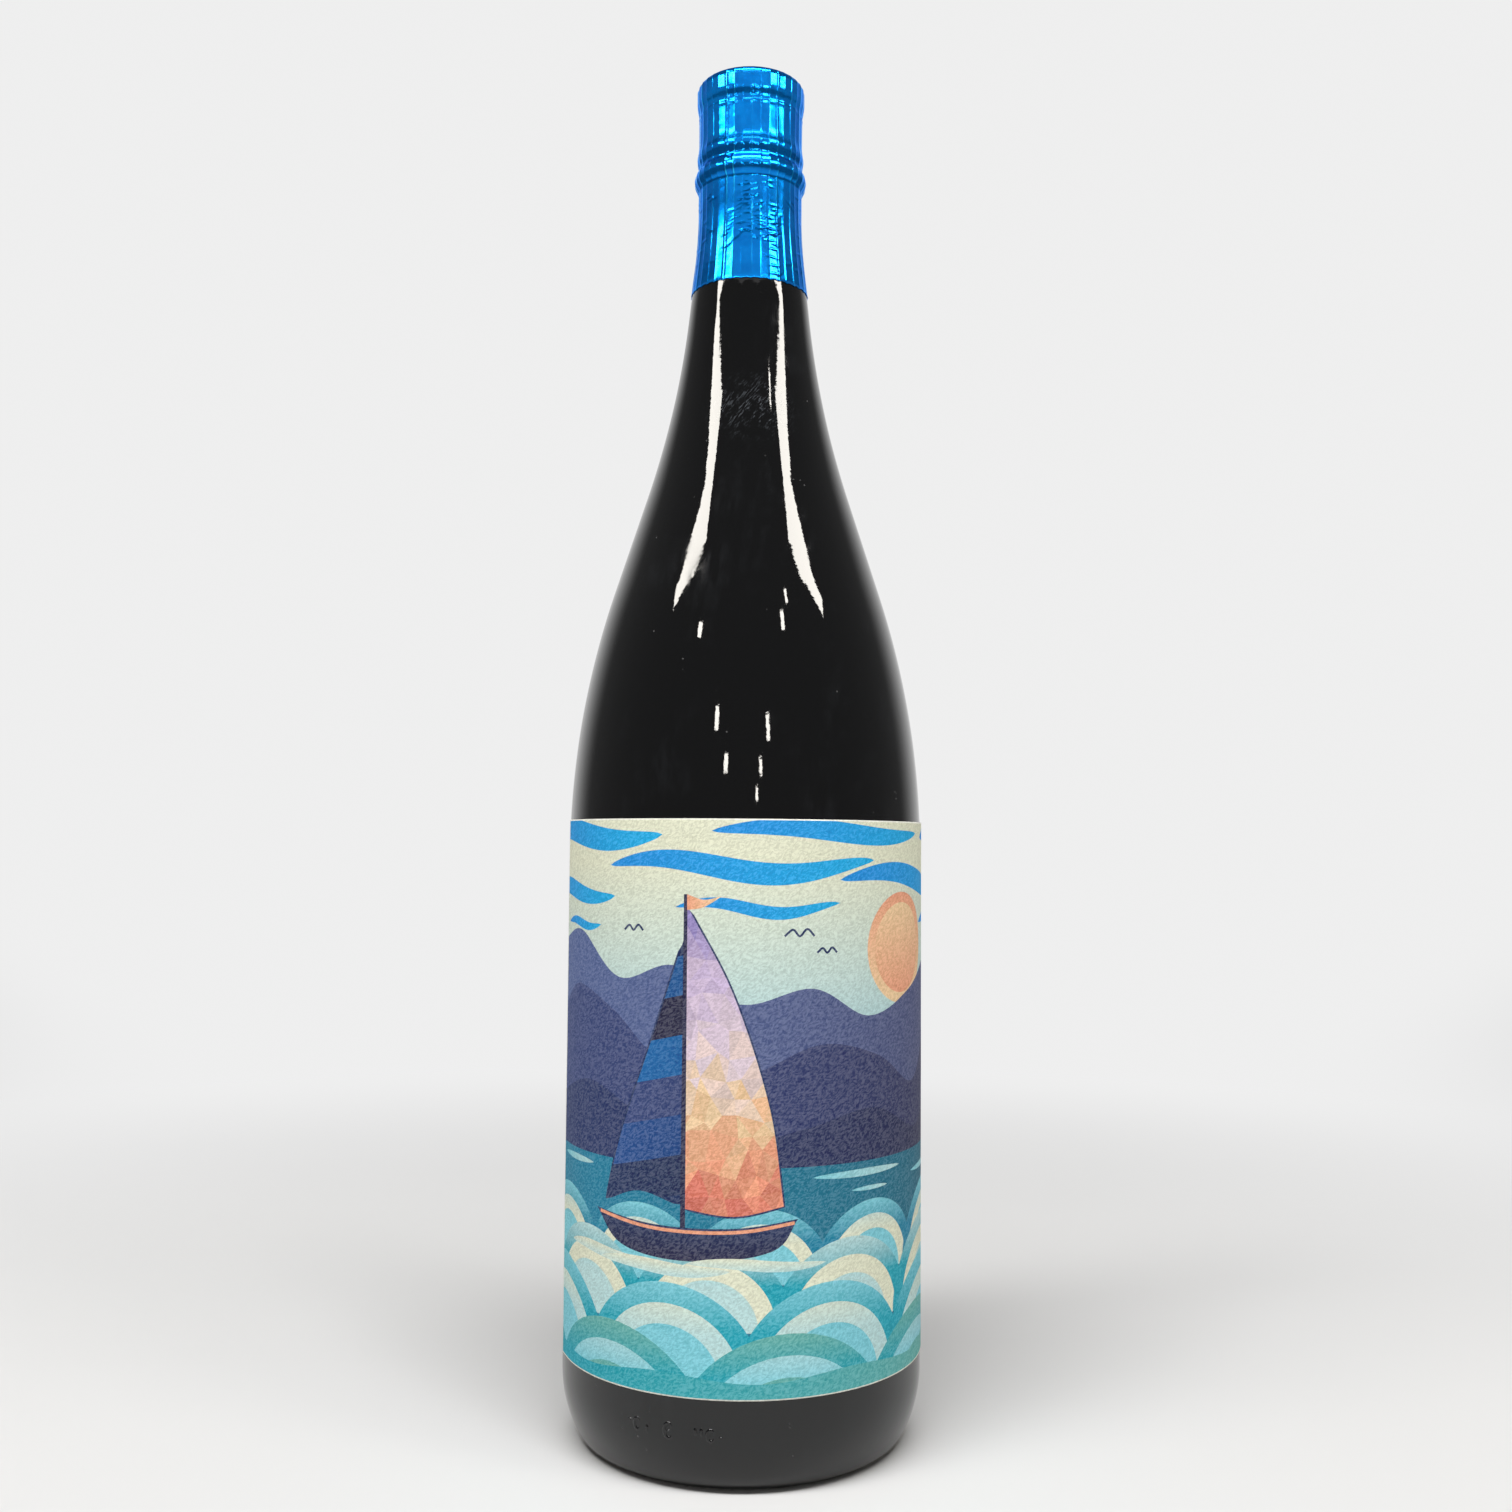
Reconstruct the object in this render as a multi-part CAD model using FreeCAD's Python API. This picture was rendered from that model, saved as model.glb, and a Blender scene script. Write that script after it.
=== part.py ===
import FreeCAD, Part
import math
import os

# A tall 1.8 litre liquor bottle of near-black glass, standing on its base. A pleated metal
# foil capsule is pressed over the stopper and the upper neck, and one paper label wraps
# round the front of the body. Millimetres, +Z up, the label faces -Y, and the origin is at
# the middle of the base, on the plane that the bottle stands on. Leans are in degrees.

# --- Glass: body and heel ---
BODY_R = 52.5            # straight body, 105 mm across
HEEL_R = 37.3            # large arc from the body down into the heel
HEEL_LEAN = 27.7         # lean of the heel where the small arc takes over
FOOT_R = 6.0             # small arc from the heel round to the seat
SEAT_WIDTH = 2.4         # flat ring that the bottle stands on
PUSH_UP = 4.5            # rise of the hollow under the base
PUSH_UP_ROOT_R = 10.0    # arc between the seat and the hollow

# --- Glass: shoulder and neck ---
SHOULDER_Z = 168.2       # height where the body starts to draw in
SHOULDER_R = 253.0       # long convex arc of the shoulder
SHOULDER_LEAN = 18.0     # steepest lean of the shoulder
THROAT_Z = 275.6         # height where the lean starts to ease
THROAT_R = 282.0         # long concave arc from the shoulder to the neck
NECK_LEAN = 6.72         # lean of the neck cone
NECK_TOP_Z = 347.5       # end of the neck cone
COLLAR_R = 145.0         # concave arc from the cone to the upright collar

# --- Glass: ring under the stopper, and the mouth inside the stopper ---
RING_Z = 370.3           # lower root of the ring
RING_HEIGHT = 7.4
RING_DEPTH = 1.28
RING_ROOT_R = 1.6
MOUTH_R = 13.6
MOUTH_Z = 396.5
MOUTH_EDGE_R = 1.2

# --- Foil capsule ---
FOIL = 0.16              # foil with its crimps
GAP = 0.03               # air between two pieces that lie on each other
CAPSULE_Z = 338.7        # lower edge of the capsule
CAPSULE_TOP = 405.1
PLEATS = 38              # flat facets round the capsule
FIRST_CREASE = 2.2       # turn of the first crease from +X
PLEAT_JITTER = 0.16      # unevenness of the creases, as a share of a pleat
BEAD_HEIGHT = 8.6        # bead at the stopper's lower edge
BEAD_DEPTH = 0.68
BEAD_ROOT_R = 4.0
WAIST_LEAN = 0.8         # slight taper of the waist above the bead
WAIST_TOP_Z = 395.0      # height where the waist flares to the top band
BAND_Z = 399.4           # lower edge of the top band
BAND_FLARE = 0.6         # how far the top band stands out from the waist
BAND_EDGE_R = 1.6        # rounded top edge

# --- Paper label ---
LABEL_Z = 25.9           # lower edge
LABEL_HEIGHT = 152.3
LABEL_WIDTH = 160.0      # measured along the paper
LABEL_FLAT = 5.0         # stiff end strips that stay straight and stand off the glass
PAPER = 0.22

AXIS = FreeCAD.Vector(0, 0, 1)
ORIGIN = FreeCAD.Vector(0, 0, 0)


class Outline:
    """One side of an outline in the XZ plane, drawn upwards edge by edge.

    The heading is the lean from +Z towards the axis. Every edge is drawn 'grow' outside
    the nominal line, so one route serves the glass and what lies on it.
    """

    def __init__(self, r, z, heading, grow=0.0):
        self.r = r
        self.z = z
        self.heading = heading
        self.grow = grow
        self.restart()

    def restart(self):
        self.edges = []
        self.points = [self.offset(self.r, self.z, self.heading)]

    def offset(self, r, z, heading):
        lean = math.radians(heading)
        return FreeCAD.Vector(r + self.grow * math.cos(lean), 0, z + self.grow * math.sin(lean))

    def line_to(self, r, z):
        self.r = r
        self.z = z
        self.points.append(self.offset(r, z, self.heading))
        self.edges.append(Part.makeLine(self.points[-2], self.points[-1]))

    def line(self, length):
        lean = math.radians(self.heading)
        self.line_to(self.r - length * math.sin(lean), self.z + length * math.cos(lean))

    def rise_to(self, z):
        self.line((z - self.z) / math.cos(math.radians(self.heading)))

    def arc(self, radius, heading):
        """Turns on a tangent arc to a new heading: a larger one bends towards the axis."""
        first = math.radians(self.heading)
        side = math.copysign(radius, heading - self.heading)

        def along(angle):
            lean = math.radians(angle)
            r = self.r + side * (math.cos(lean) - math.cos(first))
            return r, self.z + side * (math.sin(lean) - math.sin(first)), angle

        middle = self.offset(*along((self.heading + heading) / 2))
        self.r, self.z, self.heading = along(heading)
        self.points.append(self.offset(self.r, self.z, heading))
        self.edges.append(Part.Arc(self.points[-2], middle, self.points[-1]).toShape())

    def bead(self, height, depth, root_r):
        """A rounded bead on an upright line, with tangent roots."""
        lean = 2 * math.degrees(math.atan(2 * depth / height))
        crest_r = height / 2 / math.sin(math.radians(lean)) - root_r
        self.arc(root_r, -lean)
        self.arc(crest_r, lean)
        self.arc(root_r, 0)

    def flare(self, height, depth):
        """An S-shaped step outwards, from upright to upright."""
        lean = 2 * math.degrees(math.atan(depth / height))
        radius = height / 2 / math.sin(math.radians(lean))
        self.arc(radius, -lean)
        self.arc(radius, 0)

    def revolved(self):
        """The solid of revolution between this outline and the axis."""
        first = self.points[0]
        foot = FreeCAD.Vector(0, 0, first.z)
        edges = self.edges + [Part.makeLine(self.points[-1], foot)]
        if first.x > 1e-6:
            edges.append(Part.makeLine(foot, first))
        return Part.Face(Part.Wire(edges)).revolve(ORIGIN, AXIS, 360)


def draw_base(pen):
    """From the middle of the base out over the seat to the top of the heel."""
    heel = math.radians(HEEL_LEAN)
    seat_r = BODY_R - HEEL_R * (1 - math.cos(heel)) - FOOT_R * math.cos(heel)
    hollow_r = seat_r - SEAT_WIDTH
    lean = 2 * math.degrees(math.atan(PUSH_UP / hollow_r))
    dome_r = hollow_r / math.sin(math.radians(lean)) - PUSH_UP_ROOT_R
    pen.arc(dome_r, -90 - lean)
    pen.arc(PUSH_UP_ROOT_R, -90)
    pen.line(SEAT_WIDTH)
    pen.arc(FOOT_R, -HEEL_LEAN)
    pen.arc(HEEL_R, 0)


def draw_shoulder(pen):
    """From the straight body up to the neck cone."""
    pen.rise_to(SHOULDER_Z)
    pen.arc(SHOULDER_R, SHOULDER_LEAN)
    pen.rise_to(THROAT_Z)
    pen.arc(THROAT_R, NECK_LEAN)


def draw_neck(pen):
    """From the neck cone up over the ring under the stopper."""
    pen.rise_to(NECK_TOP_Z)
    pen.arc(COLLAR_R, 0)
    pen.rise_to(RING_Z)
    pen.bead(RING_HEIGHT, RING_DEPTH, RING_ROOT_R)


def draw_mouth(pen):
    """The plain mouth that the stopper covers, up to its rim and in to the axis."""
    pen.line_to(MOUTH_R, pen.z)
    pen.rise_to(MOUTH_Z - MOUTH_EDGE_R)
    pen.arc(MOUTH_EDGE_R, 90)
    pen.line(pen.r)


def pen_on_neck(z, grow):
    """A fresh outline that starts on the neck cone at that height."""
    pen = Outline(BODY_R, 0, 0, grow)
    draw_shoulder(pen)
    pen.rise_to(z)
    pen.restart()
    return pen


def make_glass_bottle():
    pen = Outline(0, PUSH_UP, -90)
    draw_base(pen)
    draw_shoulder(pen)
    draw_neck(pen)
    draw_mouth(pen)
    return pen.revolved()


def make_capsule_hollow():
    """The glass inside the capsule, with the air gap round it."""
    pen = pen_on_neck(CAPSULE_Z - 1, GAP)
    draw_neck(pen)
    draw_mouth(pen)
    return pen.revolved()


def draw_capsule(pen):
    """One crease, from the lower edge over the rings to the flat top."""
    draw_neck(pen)
    pen.bead(BEAD_HEIGHT, BEAD_DEPTH, BEAD_ROOT_R)
    pen.arc(BEAD_ROOT_R, WAIST_LEAN)
    pen.rise_to(WAIST_TOP_Z)
    pen.arc(BEAD_ROOT_R, 0)
    pen.flare(BAND_Z - WAIST_TOP_Z, BAND_FLARE)
    pen.rise_to(CAPSULE_TOP - BAND_EDGE_R)
    pen.arc(BAND_EDGE_R - pen.grow, 90)


def crease_angles():
    step = 360 / PLEATS
    return [FIRST_CREASE + step * (k + PLEAT_JITTER * math.sin(2.4 * k)) for k in range(PLEATS)]


def turned(edge, angle):
    copy = edge.copy()
    copy.rotate(ORIGIN, AXIS, angle)
    return copy


def polygon_face(point, angles):
    """A flat face through one outline point as it stands at every crease."""
    corners = [FreeCAD.Rotation(AXIS, angle).multVec(point) for angle in angles]
    return Part.Face(Part.makePolygon(corners + corners[:1]))


def make_foil_capsule():
    """Flat facets between creases, closed at the top and hollowed for the glass."""
    pen = pen_on_neck(CAPSULE_Z, GAP + FOIL)
    draw_capsule(pen)
    angles = crease_angles()
    faces = [polygon_face(pen.points[0], angles), polygon_face(pen.points[-1], angles)]
    for first, second in zip(angles, angles[1:] + angles[:1]):
        for edge in pen.edges:
            faces.append(Part.makeRuledSurface(turned(edge, first), turned(edge, second)))
    shell = Part.makeShell(faces)
    shell.sewShape()
    block = Part.makeSolid(Part.Shell(shell.Faces))
    if block.Volume < 0:
        block.reverse()
    return block.cut(make_capsule_hollow()).Solids[0]


def label_side(radius):
    """One side of the paper seen from above: a straight end, the long arc, a straight end."""
    half = (LABEL_WIDTH / 2 - LABEL_FLAT) / BODY_R
    right = FreeCAD.Vector(radius * math.sin(half), -radius * math.cos(half), LABEL_Z)
    left = FreeCAD.Vector(-right.x, right.y, LABEL_Z)
    front = FreeCAD.Vector(0, -radius, LABEL_Z)
    run = FreeCAD.Vector(LABEL_FLAT * math.cos(half), LABEL_FLAT * math.sin(half), 0)
    right_end = right + run
    left_end = left + FreeCAD.Vector(-run.x, run.y, 0)
    edges = [
        Part.makeLine(left_end, left),
        Part.Arc(left, front, right).toShape(),
        Part.makeLine(right, right_end),
    ]
    return edges, left_end, right_end


def make_front_label():
    """A strip of stiff paper bent round the body; its edge reaches onto the shoulder."""
    inner, inner_left, inner_right = label_side(BODY_R + GAP)
    outer, outer_left, outer_right = label_side(BODY_R + GAP + PAPER)
    right_edge = Part.makeLine(inner_right, outer_right)
    left_edge = Part.makeLine(outer_left, inner_left)
    section = Part.Face(Part.Wire(inner + [right_edge] + outer[::-1] + [left_edge]))
    return section.extrude(AXIS * LABEL_HEIGHT)


MAKERS = {
    "glass_bottle": make_glass_bottle,
    "foil_capsule": make_foil_capsule,
    "front_label": make_front_label,
}

os.makedirs("parts", exist_ok=True)
for name, make in MAKERS.items():
    shape = make()
    shape.exportStep("parts/" + name + ".step")
    print(name, shape.ShapeType, "valid", shape.isValid(), round(shape.Volume / 1000, 2), "cm3")
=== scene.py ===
import math
import random

import bpy
import numpy as np
from mathutils import Matrix, Vector, noise
from mathutils.geometry import delaunay_2d_cdt


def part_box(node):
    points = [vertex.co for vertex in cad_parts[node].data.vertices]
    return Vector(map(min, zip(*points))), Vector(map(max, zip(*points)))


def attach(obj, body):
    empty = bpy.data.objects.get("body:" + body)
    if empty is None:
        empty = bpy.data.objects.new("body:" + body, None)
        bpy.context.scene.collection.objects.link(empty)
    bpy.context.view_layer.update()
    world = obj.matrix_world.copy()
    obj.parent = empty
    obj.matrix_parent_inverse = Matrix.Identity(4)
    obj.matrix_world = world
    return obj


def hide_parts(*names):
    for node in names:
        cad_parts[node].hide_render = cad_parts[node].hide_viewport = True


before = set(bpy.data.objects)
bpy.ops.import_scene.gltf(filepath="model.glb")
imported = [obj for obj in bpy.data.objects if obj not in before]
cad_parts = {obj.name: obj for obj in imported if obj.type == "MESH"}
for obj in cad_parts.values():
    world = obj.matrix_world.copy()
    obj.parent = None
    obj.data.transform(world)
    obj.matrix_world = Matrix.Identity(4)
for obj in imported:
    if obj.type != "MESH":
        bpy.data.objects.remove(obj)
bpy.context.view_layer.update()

MM = 0.001

# --- Measures of the glass, in metres; leans in degrees from +Z towards the axis ---
GLASS_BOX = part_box("glass_bottle")
BODY_R = GLASS_BOX[1].x
MOUTH_Z = GLASS_BOX[1].z
PUSH_UP = 0.0045
PUSH_UP_ROOT_R = 0.010
SEAT_WIDTH = 0.0024
FOOT_R = 0.006
HEEL_R = 0.0373
HEEL_LEAN = 27.7
SHOULDER_Z = 0.1682
SHOULDER_R = 0.253
SHOULDER_LEAN = 18.0
THROAT_Z = 0.2756
THROAT_R = 0.282
NECK_LEAN = 6.72
NECK_TOP_Z = 0.3475
COLLAR_R = 0.145
RING_Z = 0.3711
RING_HEIGHT = 0.0074
RING_DEPTH = 0.00128
RING_ROOT_R = 0.0016
MOUTH_R = 0.0136
MOUTH_EDGE_R = 0.0012

# --- Measures of the foil capsule ---
CAPSULE_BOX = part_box("foil_capsule")
CAPSULE_Z = CAPSULE_BOX[0].z
CAPSULE_TOP = CAPSULE_BOX[1].z
FOIL = 0.16 * MM
GAP = 0.03 * MM
PLEATS = 38
FIRST_CREASE = 3.5
PLEAT_JITTER = 0.05
FOLD_ROOT_R = 0.004
FOLD_UNDER_LEAN = 18.0
FOLD_CREST_R = 0.0061
FOLD_OVER_LEAN = 12.0
FOLD_TOP_R = 0.0165
WAIST_LEAN = -0.4
WAIST_ROOT_R = 0.004
WAIST_TOP_Z = 0.395
BAND_Z = 0.3994
BAND_FLARE = 0.0006
BAND_EDGE_R = 0.0024

# --- Measures of the paper label ---
LABEL_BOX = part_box("front_label")
LABEL_Z = LABEL_BOX[0].z
LABEL_HEIGHT = LABEL_BOX[1].z - LABEL_Z
LABEL_R = -LABEL_BOX[0].y
LABEL_WIDTH = 0.160
LABEL_FLAT = 0.005
PAPER = 0.16 * MM

# --- Camera and studio; the camera looks at the label from a little to its left ---
CAMERA_TURN = -12.0
CAMERA_DISTANCE = 0.4647
CAMERA_Z = 0.1705
CAMERA_YAW = 0.377
CAMERA_PITCH = 3.404
CAMERA_ROLL = 0.431
CAMERA_LENS = 36.67
CAMERA_SENSOR = 36
FRONT = math.radians(-90 + CAMERA_TURN)
PALE = 0.86
SHADED = 0.18
DIM = 0.10
FLOOR_RADII = (0.15, 0.4, 1.0, 2.5, 6.0, 15.0)

# Over these cosines from straight behind the bottle the backdrop turns pale, and over these rises
# it turns shaded. The floor stays pale out to NEAR_FLOOR and turns into the backdrop over FLOOR_FADE.
PALE_SECTOR = (0.50, 0.88)
SWEEP = (0.55, 0.80)
NEAR_FLOOR = (0.45, 1.60)
FLOOR_FADE = (0.14, 0.75)


def srgb(*values):
    """A linear colour from three display values of 0 to 255."""
    share = np.array(values) / 255
    linear = np.where(share <= 0.04045, share / 12.92, ((share + 0.055) / 1.055) ** 2.4)
    return np.append(linear, 1.0)


def grey(level):
    return (level, level, level, 1)


# --- outlines and meshes ---

class Outline:
    """One side of a turned shape, drawn upwards as evenly spaced points with their leans."""

    def __init__(self, r, z, heading, step):
        self.r, self.z, self.heading, self.step = r, z, heading, step
        self.points = [(r, z, heading)]

    def restart(self, r, z, heading):
        """Goes on from another place, across a sharp step."""
        self.r, self.z, self.heading = r, z, heading
        self.points.append((r, z, heading))

    def line(self, length):
        lean = math.radians(self.heading)
        count = max(1, round(length / self.step))
        for k in range(1, count + 1):
            run = length * k / count
            r, z = self.r - run * math.sin(lean), self.z + run * math.cos(lean)
            self.points.append((r, z, self.heading))
        self.r, self.z, _ = self.points[-1]

    def rise_to(self, z):
        self.line((z - self.z) / math.cos(math.radians(self.heading)))

    def arc(self, radius, heading):
        """Turns on a tangent arc to a new heading: a larger one bends towards the axis."""
        first = math.radians(self.heading)
        side = math.copysign(radius, heading - self.heading)
        length = radius * abs(math.radians(heading) - first)
        count = max(4, round(length / self.step))
        r, z, start = self.r, self.z, self.heading
        for k in range(1, count + 1):
            angle = start + (heading - start) * k / count
            lean = math.radians(angle)
            self.points.append((
                r + side * (math.cos(lean) - math.cos(first)),
                z + side * (math.sin(lean) - math.sin(first)),
                angle,
            ))
        self.r, self.z, self.heading = self.points[-1]

    def bead(self, height, depth, root_r):
        """A round ring that stands out by its depth, with hollow roots below and above."""
        lean = 2 * math.degrees(math.atan(2 * depth / height))
        crest_r = height / 2 / math.sin(math.radians(lean)) - root_r
        self.arc(root_r, -lean)
        self.arc(crest_r, lean)
        self.arc(root_r, 0)

    def flare(self, height, depth):
        """A soft step outwards over that height."""
        lean = 2 * math.degrees(math.atan(depth / height))
        radius = height / 2 / math.sin(math.radians(lean))
        self.arc(radius, -lean)
        self.arc(radius, 0)

    def grown(self, by=0.0):
        """Radii and heights of the points, moved outwards."""
        r, z, heading = np.array(self.points).T
        lean = np.radians(heading)
        return r + by * np.cos(lean), z + by * np.sin(lean)


def draw_base(pen):
    heel = math.radians(HEEL_LEAN)
    seat_r = BODY_R - HEEL_R * (1 - math.cos(heel)) - FOOT_R * math.cos(heel)
    hollow_r = seat_r - SEAT_WIDTH
    lean = 2 * math.degrees(math.atan(PUSH_UP / hollow_r))
    dome_r = hollow_r / math.sin(math.radians(lean)) - PUSH_UP_ROOT_R
    pen.arc(dome_r, -90 - lean)
    pen.arc(PUSH_UP_ROOT_R, -90)
    pen.line(SEAT_WIDTH)
    pen.arc(FOOT_R, -HEEL_LEAN)
    pen.arc(HEEL_R, 0)


def draw_shoulder(pen):
    pen.rise_to(SHOULDER_Z)
    pen.arc(SHOULDER_R, SHOULDER_LEAN)
    pen.rise_to(THROAT_Z)
    pen.arc(THROAT_R, NECK_LEAN)


def draw_neck(pen):
    pen.rise_to(NECK_TOP_Z)
    pen.arc(COLLAR_R, 0)
    pen.rise_to(RING_Z)
    pen.bead(RING_HEIGHT, RING_DEPTH, RING_ROOT_R)


def draw_mouth(pen):
    pen.restart(MOUTH_R, pen.z, 0)
    pen.rise_to(MOUTH_Z - MOUTH_EDGE_R)
    pen.arc(MOUTH_EDGE_R, 90)


def neck_pen(z, step):
    """A fresh outline that starts on the neck cone at that height."""
    pen = Outline(BODY_R, 0, 0, 0.01)
    draw_shoulder(pen)
    pen.rise_to(z)
    return Outline(pen.r, pen.z, pen.heading, step)


def new_mesh(name, vertices, faces):
    mesh = bpy.data.meshes.new(name)
    mesh.from_pydata(np.asarray(vertices).tolist(), [], faces)
    mesh.shade_smooth()
    mesh.update()
    return mesh


def new_object(name, data):
    made = bpy.data.objects.new(name, data)
    bpy.context.scene.collection.objects.link(made)
    return made


def new_piece(name, mesh, material):
    piece = new_object(name, mesh)
    mesh.materials.append(material)
    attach(piece, "root")
    return piece


def ring_faces(rows, columns):
    """Quads between neighbouring rings of vertices, wound so that they face outwards going up."""
    index = np.arange(rows * columns).reshape(rows, columns)
    right = np.roll(index, -1, axis=1)
    quads = np.stack([index[:-1], right[:-1], right[1:], index[1:]], axis=-1)
    return quads.reshape(-1, 4).tolist()


def turned_mesh(name, rings, first_z, last_z):
    """A closed mesh of rings of points, with a pole in the middle of the first and the last one."""
    rows, columns = rings.shape[:2]
    pole, last = rows * columns, (rows - 1) * columns
    faces = ring_faces(rows, columns)
    for k in range(columns):
        following = (k + 1) % columns
        faces.append((pole, following, k))
        faces.append((pole + 1, last + k, last + following))
    vertices = np.concatenate([rings.reshape(-1, 3), [[0, 0, first_z], [0, 0, last_z]]])
    return new_mesh(name, vertices, faces)


def turned(radius, height, angles):
    """Points at those radii and heights (rows, or rows by columns) at those angles."""
    radius, height, angles = np.broadcast_arrays(radius, height, angles)
    return np.stack([radius * np.cos(angles), radius * np.sin(angles), height], axis=-1)


def column(values):
    return np.asarray(values)[:, None]


def smooth_noise(points, seed):
    """Noise of -1 to 1 at each of the points, which are in wavelengths."""
    shape = points.shape[:-1]
    shift = Vector((seed * 17.3, seed * 5.1, seed * 9.7))
    values = [noise.noise(Vector(point) + shift) for point in points.reshape(-1, 3)]
    return np.array(values).reshape(shape)


def waves_round(angles, height, around, upwards, seed):
    """Smooth noise over a turned surface: so fine around it, and so fine per unit of height."""
    places = np.stack(np.broadcast_arrays(np.cos(angles), np.sin(angles), height), axis=-1)
    return smooth_noise(places * np.array([around, around, upwards]), seed)


def on_front(turn, radius, height):
    """A point at that turn, in degrees, to the right of the side that faces the camera."""
    angle = FRONT + math.radians(turn)
    return Vector((radius * math.cos(angle), radius * math.sin(angle), height))


def step_up(value, low, high):
    """0 below low, 1 above high, and smooth between."""
    share = np.clip((value - low) / (high - low), 0, 1)
    return share * share * (3 - 2 * share)


# --- materials ---

class Nodes:
    """Short calls for the nodes of a material or of the world."""

    def __init__(self, tree):
        self.tree = tree

    def set(self, node, sockets):
        for name, value in sockets.items():
            key = name if isinstance(name, int) else name.replace("_", " ")
            if isinstance(value, bpy.types.NodeSocket):
                self.tree.links.new(value, node.inputs[key])
            else:
                node.inputs[key].default_value = value

    def node(self, kind, output=0, options=None, sockets=None, **named):
        node = self.tree.nodes.new("ShaderNode" + kind)
        for name, value in (options or {}).items():
            setattr(node, name, value)
        self.set(node, {**(sockets or {}), **named})
        return node.outputs[output]

    def math(self, operation, first, second=0.5, third=0.0):
        return self.node("Math", 0, {"operation": operation}, {0: first, 1: second, 2: third})

    def vector(self, operation, first, second=(0, 0, 0), output="Vector"):
        return self.node("VectorMath", output, {"operation": operation}, {0: first, 1: second})

    def scaled(self, vector, by):
        return self.node("VectorMath", 0, {"operation": "SCALE"}, {0: vector, "Scale": by})

    def length(self, vector):
        return self.vector("LENGTH", vector, output="Value")

    def spread(self, value, low, high, to_low=0.0, to_high=1.0):
        """The value from low..high, stretched smoothly to another range."""
        options = {"interpolation_type": "SMOOTHSTEP"}
        named = {"Value": value, "From_Min": low, "From_Max": high, "To_Min": to_low, "To_Max": to_high}
        return self.node("MapRange", options=options, **named)

    def noise(self, vector, scale, detail=2.0, roughness=0.5):
        return self.node("TexNoise", Vector=vector, Scale=scale, Detail=detail, Roughness=roughness)

    def grain(self, vector, turn, scale, detail=2.0, roughness=0.6, axis=(0, 0, 1)):
        """Noise that runs one way: the places are turned about an axis and then scaled."""
        turned_vector = self.node("VectorRotate", Vector=vector, Axis=axis, Angle=math.radians(turn))
        return self.noise(self.vector("MULTIPLY", turned_vector, scale), 1, detail, roughness)

    def nearness(self, vector, centre, reach):
        """1 at the centre, falling smoothly to 0 at that reach along each axis."""
        offset = self.vector("SUBTRACT", vector, centre)
        distance = self.length(self.vector("DIVIDE", offset, reach))
        return self.spread(distance, 0.15, 1.0, 1, 0)

    def mix(self, factor, first, second):
        return self.node("Mix", 2, {"data_type": "RGBA"}, {0: factor, 6: first, 7: second})

    def bump(self, height, distance, normal=None):
        named = {"Height": height, "Distance": distance, "Strength": 1.0}
        if normal is not None:
            named["Normal"] = normal
        return self.node("Bump", **named)

    def seen(self):
        """1 where the camera sees the place itself, or sees it in metal or glass."""
        path = self.tree.nodes.new("ShaderNodeLightPath").outputs
        directly = self.math("MAXIMUM", path["Is Camera Ray"], path["Is Glossy Ray"])
        return self.math("MAXIMUM", directly, path["Is Transmission Ray"])

    def backdrop(self, direction, sweep):
        """The backdrop's colour: pale behind the bottle, shaded in front of it and above the sweep."""
        flat = self.vector("NORMALIZE", self.vector("MULTIPLY", direction, (1, 1, 0)))
        behind = self.vector("DOT_PRODUCT", flat, -on_front(0, 1, 0), "Value")
        share = self.math("MULTIPLY", self.spread(behind, *PALE_SECTOR), sweep)
        return self.mix(share, grey(SHADED), grey(PALE))


class Finish(Nodes):
    """A material with its Principled shader."""

    def __init__(self, name, **sockets):
        self.material = bpy.data.materials.new(name)
        self.material.use_nodes = True
        super().__init__(self.material.node_tree)
        self.shader = self.tree.nodes["Principled BSDF"]
        self.set(self.shader, sockets)

    def done(self, **sockets):
        self.set(self.shader, sockets)
        return self.material

    def times(self, first, second):
        return self.math("MULTIPLY", first, second)

    def sloped(self, value, slope, start):
        """A start level plus so much of the value."""
        return self.math("MULTIPLY_ADD", value, slope, start)


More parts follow.
